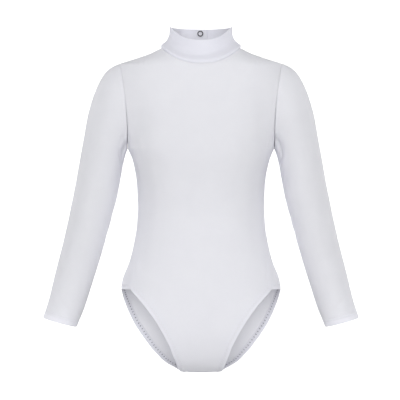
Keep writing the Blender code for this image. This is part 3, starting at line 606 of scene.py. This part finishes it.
def leg_path(back, distance, step):
    """Points and normals at distances in from a leg edge: the edge's point moved square to it along the
    body and settled onto the body, at even steps from the crotch to the side seam."""
    fine_angle, fine_z = leg_edge(np.linspace(1e-5, 1, 400), back)
    edge = body(BACK - fine_angle if back else fine_angle, fine_z)
    run = np.concatenate([[0], np.cumsum(np.linalg.norm(np.diff(edge, axis=0), axis=1))])
    where = np.arange(step, run[-1] - step, step) / run[-1]
    share = np.interp(where, run / run[-1], np.linspace(1e-5, 1, 400))
    angle, z = leg_edge(share, back)
    facing = BACK - angle if back else angle
    edge, normal = body(facing, z), body_normal(facing, z)
    tangent = unit(np.gradient(edge, axis=0))
    inward = np.cross(normal, tangent)
    inward *= -np.sign((inward * (edge * np.array([1, 0, 0.2]))).sum(-1, keepdims=True))
    distance = np.resize(distance, len(edge))  # which repeats the given distances
    angle, z = settle(edge + distance[:, None] * inward, angle, z, back)
    facing = BACK - angle if back else angle
    return body(facing, z), body_normal(facing, z)


def with_mirrored(rows):
    """Points or normals of the left side, and after them those of the right."""
    return np.concatenate([rows, rows * np.array([-1, 1, 1])])


for panel_name, is_back in (("front", False), ("back", True)):
    points, normals = leg_path(is_back, (ZIGZAG_NEAR, ZIGZAG_FAR), ZIGZAG_STEP)
    line = points + 0.30 * MM * normals
    ends_and_facing = [with_mirrored(row) for row in (line[:-1], line[1:], normals[:-1])]
    stitches(panel_name + "_leg_zigzag_outside", *ends_and_facing)
    (near, normals), (far, _) = [leg_path(is_back, at, INSIDE_STEP) for at in (INSIDE_NEAR, INSIDE_FAR)]
    under = (HEM_WALL - HEM_RISE) * normals
    ends_and_facing = [with_mirrored(row) for row in (near - under, far - under, -normals)]
    stitches(panel_name + "_leg_zigzag_inside", *ends_and_facing, INSIDE_RADIUS, INSIDE_THREAD_PAINTED_SHADE)


# Sleeves: each is one piece of the knit, joined by a seam under the arm and set into the armhole.
# The cuff is turned up once and held by a double line of cover stitch.

Ring = namedtuple("Ring", "outer_x outer_z inner_x inner_z half_depth back bow")
SLEEVE = [
    Ring(121.0, -21.0, 110.0, -148.5, 43.0, 0.0, 3.5), Ring(130.5, -24.6, 110.6, -150.5, 43.0, 0.0, 2.4),
    Ring(140.0, -31.0, 111.3, -152.5, 42.7, 0.2, 1.4), Ring(151.0, -46.0, 112.3, -155.5, 42.0, 0.6, 0.6),
    Ring(161.5, -70.0, 113.8, -160.0, 40.4, 1.2, 0.2), Ring(169.6, -98.0, 115.6, -167.0, 38.8, 2.0, 0.0),
    Ring(175.3, -129.0, 117.0, -177.0, 37.4, 2.8, 0.0), Ring(181.3, -162.0, 120.3, -192.0, 36.2, 3.4, 0.0),
    Ring(188.0, -200.0, 125.4, -219.0, 34.4, 3.4, 0.0), Ring(196.5, -243.0, 136.0, -260.0, 32.0, 2.4, 0.0),
    Ring(206.5, -288.0, 148.1, -303.5, 29.6, 0.0, 0.0), Ring(217.5, -332.0, 161.5, -347.0, 27.0, -4.0, 0.0),
    Ring(227.5, -374.0, 175.0, -389.0, 24.4, -9.0, 0.0), Ring(235.5, -400.3, 185.5, -414.0, 22.6, -12.5, 0.0),
]
CUFF_HEM = 10 * MM
SLEEVE_SIDES, SLEEVE_STEPS = 20 * FINE, 190
ARM_RADIUS = 33 * MM  # by which a turn round the arm is taken as a distance
Fold = namedtuple("Fold", "share turn slope length width high")
# The share along the sleeve, the turn from the top toward the front in degrees, the slope of the fold
# across the arm, and its half length, width and height in millimetres
SLEEVE_FOLDS = [
    Fold(0.90, 60, 0.55, 15, 3.2, -0.55), Fold(0.925, 95, 0.5, 13, 2.8, -0.5),
    Fold(0.88, 130, 0.6, 14, 3.4, -0.45), Fold(0.94, 40, 0.4, 10, 2.4, -0.35),
    Fold(0.90, 240, 0.5, 14, 3.2, -0.5), Fold(0.93, 290, -0.5, 12, 3.0, -0.4),
    Fold(0.52, 150, 0.8, 24, 6.0, -0.7), Fold(0.56, 165, 0.7, 22, 5.5, -0.6),
    Fold(0.48, 195, -0.8, 22, 6.0, -0.6), Fold(0.60, 140, 0.8, 22, 6.5, -0.45),
    Fold(0.18, 158, 2.2, 26, 4.0, -0.9), Fold(0.21, 175, 2.4, 28, 4.0, -0.9),
    Fold(0.20, 195, -2.2, 26, 4.2, -0.8), Fold(0.16, 140, 2.0, 24, 5.0, -0.6),
    Fold(0.30, 150, 1.6, 24, 6.0, -0.5), Fold(0.50, 20, 0.5, 26, 8.0, 0.35),
    Fold(0.72, 320, -0.6, 24, 7.0, -0.4), Fold(0.70, 70, 0.6, 24, 8.0, -0.3),
    Fold(0.09, 150, 9.0, 30, 7.5, -2.6), Fold(0.09, 210, 9.0, 28, 7.5, -2.4),
    Fold(0.075, 152, 12.0, 22, 2.4, -2.2), Fold(0.055, 135, 12.0, 12, 2.0, -1.4),
    Fold(0.07, 205, 12.0, 20, 2.6, -1.8),
]
middles = np.array([((r.outer_x + r.inner_x) / 2, (r.outer_z + r.inner_z) / 2) for r in SLEEVE])
sleeve_run = np.concatenate([[0], np.cumsum(np.linalg.norm(np.diff(middles, axis=0), axis=1))])
SLEEVE_LENGTH = sleeve_run[-1] * MM
track = {
    name: through(sleeve_run / sleeve_run[-1], [getattr(ring, name) * MM for ring in SLEEVE])
    for name in Ring._fields
}


def sleeve_point(share, turn, side):
    """An oval round the arm: in front view it runs between the ring's outer and inner point by the cosine of
    the turn, with the half depth times the sine to the front and the bow times its square toward the body."""
    share, turn = np.broadcast_arrays(np.asarray(share, float), np.asarray(turn, float))
    at = {name: curve(np.clip(share, 0, 1)) for name, curve in track.items()}
    reach = np.cos(turn)
    outward, inward = (1 + reach) / 2, (1 - reach) / 2
    x = at["outer_x"] * outward + at["inner_x"] * inward - at["bow"] * np.sin(turn) ** 2
    z = at["outer_z"] * outward + at["inner_z"] * inward
    return np.stack([side * x, at["back"] - at["half_depth"] * np.sin(turn), z], axis=-1)


def sleeve_normal(share, turn, side):
    """The cross product of small steps round the arm and along it."""
    round_step = sleeve_point(share, turn + 1e-4, side) - sleeve_point(share, turn - 1e-4, side)
    low, high = np.clip(share - 1e-5, 0, 1), np.clip(share + 1e-5, 0, 1)
    return unit(side * np.cross(round_step, sleeve_point(high, turn, side) - sleeve_point(low, turn, side)))


def sleeve_rise(share, turn, side):
    """Rise of the cloth: bells along and across each fold, and the hem, seams and stitch lines."""
    rise = np.zeros(np.broadcast(share, turn).shape)
    for i, fold in enumerate(SLEEVE_FOLDS):
        centre = math.radians(fold.turn + 7 * math.sin(3 * i + side))
        around = (np.mod(turn - centre + math.pi, 2 * math.pi) - math.pi) * ARM_RADIUS
        along = (share - fold.share - 0.008 * math.sin(4 * i + 2 * side)) * SLEEVE_LENGTH
        lean = math.atan(fold.slope)
        run = around * math.cos(lean) + along * math.sin(lean)
        off = along * math.cos(lean) - around * math.sin(lean)
        bell = np.exp(-((off / (fold.width * MM)) ** 2) - (run / (fold.length * MM)) ** 2)
        rise += fold.high * MM * bell
    to_cuff = (1 - share) * SLEEVE_LENGTH
    under_arm = np.abs(np.mod(turn, 2 * math.pi) - math.pi) * ARM_RADIUS
    rise += seam_roll(share * SLEEVE_LENGTH, CLOSED_SEAM, 1.4 * MM)
    rise += seam_roll(under_arm, 0.45 * MM, 1.1 * MM)
    toward_shoulder = np.clip(np.cos(turn) + 0.6, 0, 1)
    rise -= seam_roll(share * SLEEVE_LENGTH - 2.5 * MM, 0.35 * MM, 1.5 * MM) * toward_shoulder
    for line in (CUFF_HEM, CUFF_HEM - 3 * MM):
        rise += seam_roll(to_cuff - line, 0.3 * MM, 0.9 * MM)
    return rise + 0.3 * MM * np.clip((CUFF_HEM + 1 * MM - to_cuff) / (1.5 * MM), 0, 1)


sleeve_share = np.concatenate([
    [0], np.linspace(0.0008, 0.03, 14)[:-1],
    np.linspace(0.03, 0.94, SLEEVE_STEPS - 44)[:-1], np.linspace(0.94, 1, 32),
])[:, None]
sleeve_turn = (np.arange(SLEEVE_SIDES) * 2 * math.pi / SLEEVE_SIDES)[None, :]
for name, side in (("left", 1), ("right", -1)):
    points = sleeve_point(sleeve_share, sleeve_turn, side)
    normals = sleeve_normal(sleeve_share, sleeve_turn, side)
    normals[0, :, 0] = side * np.minimum(side * normals[0, :, 0], 0)
    rise = sleeve_rise(sleeve_share, sleeve_turn, side)
    hem_wall = np.clip((CUFF_HEM + 1 * MM - (1 - sleeve_share) * SLEEVE_LENGTH) / (1.5 * MM), 0, 1)
    wall = WALL + (HEM_WALL - WALL) * hem_wall + 0 * sleeve_turn
    points = points + rise[..., None] * normals
    sleeve = cloth_piece("sleeve_" + name + "_cloth", points, normals, wall, wrap=True)
    sleeve.data.materials.append(CLOTH)
    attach(sleeve, "root")
    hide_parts("sleeve_" + name)
    starts, ends, outward = [], [], []
    for line in (CUFF_HEM, CUFF_HEM - 3 * MM):
        at = 1 - line / SLEEVE_LENGTH
        turns = np.arange(64) * 2 * math.pi / 64
        for first, bag in ((0.0, starts), (0.72, ends)):
            turn = turns + first * 2 * math.pi / 64
            lifted = sleeve_rise(np.full(64, at), turn, side)[:, None] + 0.02 * MM
            bag.append(sleeve_point(at, turn, side) + lifted * sleeve_normal(np.full(64, at), turn, side))
        outward.append(sleeve_normal(np.full(64, at), turns, side))
    stitches("cuff_" + name + "_stitches", *(np.concatenate(bag) for bag in (starts, ends, outward)))


# Collar: a stand-up band of the knit folded double, sewn into the neck seam.
# Its ends lap over each other at the centre back, the wearer's right end under the left.

COLLAR_WALL = 2 * MM
RIM_HALF, RIM_FRONT, RIM_BACK = 47 * MM, 44 * MM, 41 * MM
RIM_FRONT_Z, RIM_SIDE_Z, RIM_BACK_Z, RIM_DIP = 11.5 * MM, 33.5 * MM, 32.5 * MM, 2.6
CollarFold = namedtuple("CollarFold", "up turn high")  # share of the height, radians from the front, mm
COLLAR_FOLDS = [
    CollarFold(0.36, 0.75, -0.9), CollarFold(0.36, -0.85, -0.8), CollarFold(0.68, 1.1, -0.6),
    CollarFold(0.66, -1.2, -0.7), CollarFold(0.5, 2.6, -0.6),
]
COLLAR_FOLD_UP, COLLAR_FOLD_TURN = 0.11, 0.7  # half width and half length of a fold's bell
LAP_ANGLE, LAP_EASE, LAP_DROP = math.radians(12), math.radians(30), COLLAR_WALL + 2.8 * MM
WAY_IN = [(0, 0), (0.13, 0.02), (0.24, 0.28), (0.36, 0.60), (0.52, 0.83), (0.74, 0.95), (1, 1)]
collar_way_in = through(*zip(*WAY_IN))


def collar_point(up, turn):
    """From the neck seam to the rim: the rim is an ellipse whose height dips to the front by a power of the
    sine. The way in follows a curve of shares, and the under end moves in by an eased drop at the lap."""
    up, turn = np.broadcast_arrays(np.asarray(up, float), np.asarray(turn, float))
    side, ahead = np.sin(turn), np.cos(turn)
    quarter = np.arccos(np.clip(np.abs(ahead), 0, 1))
    behind = ahead < 0
    at_back, at_front = neck_seam(quarter, True), neck_seam(quarter, False)
    seam_x, seam_z = [np.where(behind, b, f) for b, f in zip(at_back, at_front)]
    round_front, round_back = angle_at(seam_x, seam_z, False), BACK - angle_at(seam_x, seam_z, True)
    seam = body(np.sign(side) * np.where(behind, round_back, round_front), seam_z)
    rim_z = np.where(
        behind,
        RIM_SIDE_Z + (RIM_BACK_Z - RIM_SIDE_Z) * ahead**2,
        RIM_FRONT_Z + (RIM_SIDE_Z - RIM_FRONT_Z) * np.abs(side) ** RIM_DIP,
    )
    rim = np.stack([RIM_HALF * side, -np.where(behind, RIM_BACK, RIM_FRONT) * ahead, rim_z], axis=-1)
    blend = np.stack([collar_way_in(up), collar_way_in(up), up], axis=-1)
    past = np.clip((-turn - (BACK - LAP_ANGLE - LAP_EASE)) / LAP_EASE, 0, 1)
    drop = LAP_DROP * past**2 * (3 - 2 * past)
    radial = unit(np.stack([side / RIM_HALF, -ahead / RIM_BACK, 0 * side], axis=-1))
    return seam + (rim - seam) * blend - radial * drop[..., None]


def collar_normal(up, turn):
    """The cross product of small steps round the neck and up it."""
    round_step = collar_point(up, turn + 1e-4) - collar_point(up, turn - 1e-4)
    low, high = np.clip(up - 1e-4, 0, 1), np.clip(up + 1e-4, 0, 1)
    return unit(np.cross(round_step, collar_point(high, turn) - collar_point(low, turn)))


collar_end = BACK + LAP_ANGLE
collar_turn = np.linspace(-collar_end, collar_end, 281)[None, :]
collar_up = np.concatenate([np.linspace(0, 0.12, 10)[:-1], np.linspace(0.12, 1, 36)])[:, None]
collar_height = 33 * MM
points, normals = collar_point(collar_up, collar_turn), collar_normal(collar_up, collar_turn)
rise = seam_roll(collar_up * collar_height, 0.6 * MM, 1.1 * MM) + 0 * collar_turn
wave = 0.35 * MM * np.sin(3 * collar_turn + 0.6) * np.sin(math.pi * collar_up) ** 2
for fold in COLLAR_FOLDS:
    above = (collar_up - fold.up - 0.08 * np.sin(2 * collar_turn)) / COLLAR_FOLD_UP
    beside = (collar_turn - fold.turn) / COLLAR_FOLD_TURN
    wave = wave + fold.high * MM * np.exp(-above**2 - beside**2)
points = points + (rise + wave)[..., None] * normals
collar = cloth_piece("collar_cloth", points, normals, COLLAR_WALL - 0.2 * MM)
# Painted shade: the collar's whites are darkened by a tenth to stand for shade on the doubled band.
collar.data.materials.append(knit("doubled white knit in painted shade", thin=0.3, painted_shade_factor=0.90))
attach(collar, "root")
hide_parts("collar")


# Ring snap: two open prong rings of dark plated brass that grip the cloth, with a socket and stud between.
# The cloth shows inside each ring. The CAD parts are kept and only get their finish here.


def dark_metal():
    """Dark plate, a little lighter and rougher where a noise says that it is worn."""
    made = bpy.data.materials.new("dark plated snap")
    made.use_nodes = True
    nodes, link = made.node_tree.nodes, made.node_tree.links.new
    shader = nodes["Principled BSDF"]
    place = nodes.new("ShaderNodeTexCoord").outputs["Object"]
    noise = nodes.new("ShaderNodeTexNoise")
    noise.inputs["Scale"].default_value = 1 / (0.8 * MM)
    noise.inputs["Detail"].default_value = 3
    ramp = nodes.new("ShaderNodeValToRGB")
    ramp.color_ramp.elements[0].color = (0.012, 0.012, 0.015, 1)
    ramp.color_ramp.elements[1].color = (0.06, 0.06, 0.068, 1)
    rough = nodes.new("ShaderNodeMapRange")
    rough.inputs["To Min"].default_value = 0.28
    rough.inputs["To Max"].default_value = 0.5
    link(place, noise.inputs["Vector"])
    link(noise.outputs["Fac"], ramp.inputs["Fac"])
    link(noise.outputs["Fac"], rough.inputs["Value"])
    link(ramp.outputs["Color"], shader.inputs["Base Color"])
    link(rough.outputs["Result"], shader.inputs["Roughness"])
    shader.inputs["Metallic"].default_value = 0.8
    return made


SNAP = dark_metal()
for node in ("snap_cap", "snap_socket", "snap_stud", "snap_ring"):
    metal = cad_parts[node]
    metal.data.materials.clear()
    metal.data.materials.append(SNAP)
    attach(metal, "root")


# Studio: a white sweep of paper with a lit round behind the garment, a large soft light straight in front,
# one above it, and weaker ones from the sides and behind, as in a catalogue picture.


GLOW_MIDDLE, GLOW_INNER, GLOW_OUTER, GLOW_STRENGTH = (0.0, 1.45, -0.25), 0.78, 1.15, 0.9  # the lit round
WORLD_STRENGTH = 0.39


def paper():
    """White paper with a very faint grain, lit through beyond the garment. It shows only from its lit side,
    so that the garment can be looked at from behind."""
    made = bpy.data.materials.new("lit paper")
    made.use_nodes = True
    nodes, link = made.node_tree.nodes, made.node_tree.links.new
    shader = nodes["Principled BSDF"]
    place = nodes.new("ShaderNodeTexCoord").outputs["Object"]
    noise = nodes.new("ShaderNodeTexNoise")
    noise.inputs["Scale"].default_value = 3
    ramp = nodes.new("ShaderNodeValToRGB")
    ramp.color_ramp.elements[0].color = (0.60, 0.60, 0.60, 1)
    ramp.color_ramp.elements[1].color = (0.64, 0.64, 0.64, 1)
    link(place, noise.inputs["Vector"])
    link(noise.outputs["Fac"], ramp.inputs["Fac"])
    link(ramp.outputs["Color"], shader.inputs["Base Color"])
    shader.inputs["Roughness"].default_value = 0.9
    away = nodes.new("ShaderNodeVectorMath")
    away.operation = "DISTANCE"
    away.inputs[1].default_value = GLOW_MIDDLE
    glow = nodes.new("ShaderNodeMapRange")
    glow.interpolation_type = "SMOOTHSTEP"
    glow.inputs["From Min"].default_value = GLOW_INNER
    glow.inputs["From Max"].default_value = GLOW_OUTER
    glow.inputs["To Min"].default_value = 1.0
    glow.inputs["To Max"].default_value = 0.0
    link(place, away.inputs[0])
    link(away.outputs["Value"], glow.inputs["Value"])
    link(glow.outputs["Result"], shader.inputs["Emission Color"])
    shader.inputs["Emission Strength"].default_value = GLOW_STRENGTH
    behind = nodes.new("ShaderNodeNewGeometry").outputs["Backfacing"]
    either = nodes.new("ShaderNodeMixShader")
    link(behind, either.inputs[0])
    link(shader.outputs["BSDF"], either.inputs[1])
    link(nodes.new("ShaderNodeBsdfTransparent").outputs["BSDF"], either.inputs[2])
    link(either.outputs["Shader"], nodes["Material Output"].inputs["Surface"])
    return made


FLOOR_Z, WALL_Y, SWEEP, HALF_STAGE = -0.62, 1.6, 0.5, 2.5
bend = np.linspace(0, math.pi / 2, 17)
profile_y = np.concatenate([[-1.0, 0.3, 0.8], WALL_Y - SWEEP + SWEEP * np.sin(bend), [WALL_Y]])
profile_z = np.concatenate([[FLOOR_Z] * 3, FLOOR_Z + SWEEP - SWEEP * np.cos(bend), [4.0]])
side_x = np.array([-HALF_STAGE, HALF_STAGE])
sweep_points = np.stack(
    np.broadcast_arrays(side_x[None, :], profile_y[:, None], profile_z[:, None]), axis=-1
)
number = np.arange(len(profile_y) * 2).reshape(-1, 2)
sweep_faces = np.stack([number[:-1, 0], number[:-1, 1], number[1:, 1], number[1:, 0]], axis=-1)
sweep_mesh = bpy.data.meshes.new("sweep")
sweep_mesh.from_pydata(sweep_points.reshape(-1, 3).tolist(), [], sweep_faces.tolist())
sweep_mesh.shade_smooth()
sweep_mesh.materials.append(paper())
sweep = bpy.data.objects.new("sweep", sweep_mesh)
bpy.context.scene.collection.objects.link(sweep)

for name, place, target, size, power in (
    ("high light", (0.0, -1.9, 1.15), (0, 0, -0.15), 1.4, 13),
    ("front light", (0.0, -3.2, 0.26), (0, 0, -0.20), 1.0, 43),
    ("left back light", (-1.7, 1.2, 0.1), (0, 0, -0.30), 1.2, 12),
    ("right back light", (1.7, 1.2, 0.1), (0, 0, -0.30), 1.2, 12),
    ("left light", (-2.4, -0.6, 0.1), (0, 0, -0.25), 1.4, 2),
    ("right light", (2.4, -0.6, 0.1), (0, 0, -0.25), 1.4, 2),
):
    data = bpy.data.lights.new(name, "AREA")
    data.shape, data.size, data.energy = "SQUARE", size, power
    lamp = bpy.data.objects.new(name, data)
    lamp.location = place
    x, y, z = [t - p for t, p in zip(target, place)]
    lamp.rotation_euler = (math.atan2(math.hypot(x, y), -z), 0, math.atan2(y, x) - math.pi / 2)
    lamp.visible_camera = False
    bpy.context.scene.collection.objects.link(lamp)

world = bpy.data.worlds.new("studio")
world.use_nodes = True
world.node_tree.nodes["Background"].inputs["Color"].default_value = (0.97, 0.98, 1.0, 1)
world.node_tree.nodes["Background"].inputs["Strength"].default_value = WORLD_STRENGTH
bpy.context.scene.world = world
bpy.context.scene.view_settings.view_transform = "Standard"

DISTANCE, EYE_Z, MIDDLE_Z, FRAME_WIDTH = 3.0, -0.19, -0.2255, 0.600
lens = bpy.data.cameras.new("camera")
lens.sensor_width, lens.lens = 36, 36 * DISTANCE / FRAME_WIDTH
lens.shift_y = (MIDDLE_Z - EYE_Z) / FRAME_WIDTH
lens.clip_end = 40
camera = bpy.data.objects.new("camera", lens)
camera.location = (-0.0015, -DISTANCE, EYE_Z)
camera.rotation_euler = (math.pi / 2, 0, 0)
bpy.context.scene.collection.objects.link(camera)
bpy.context.scene.camera = camera
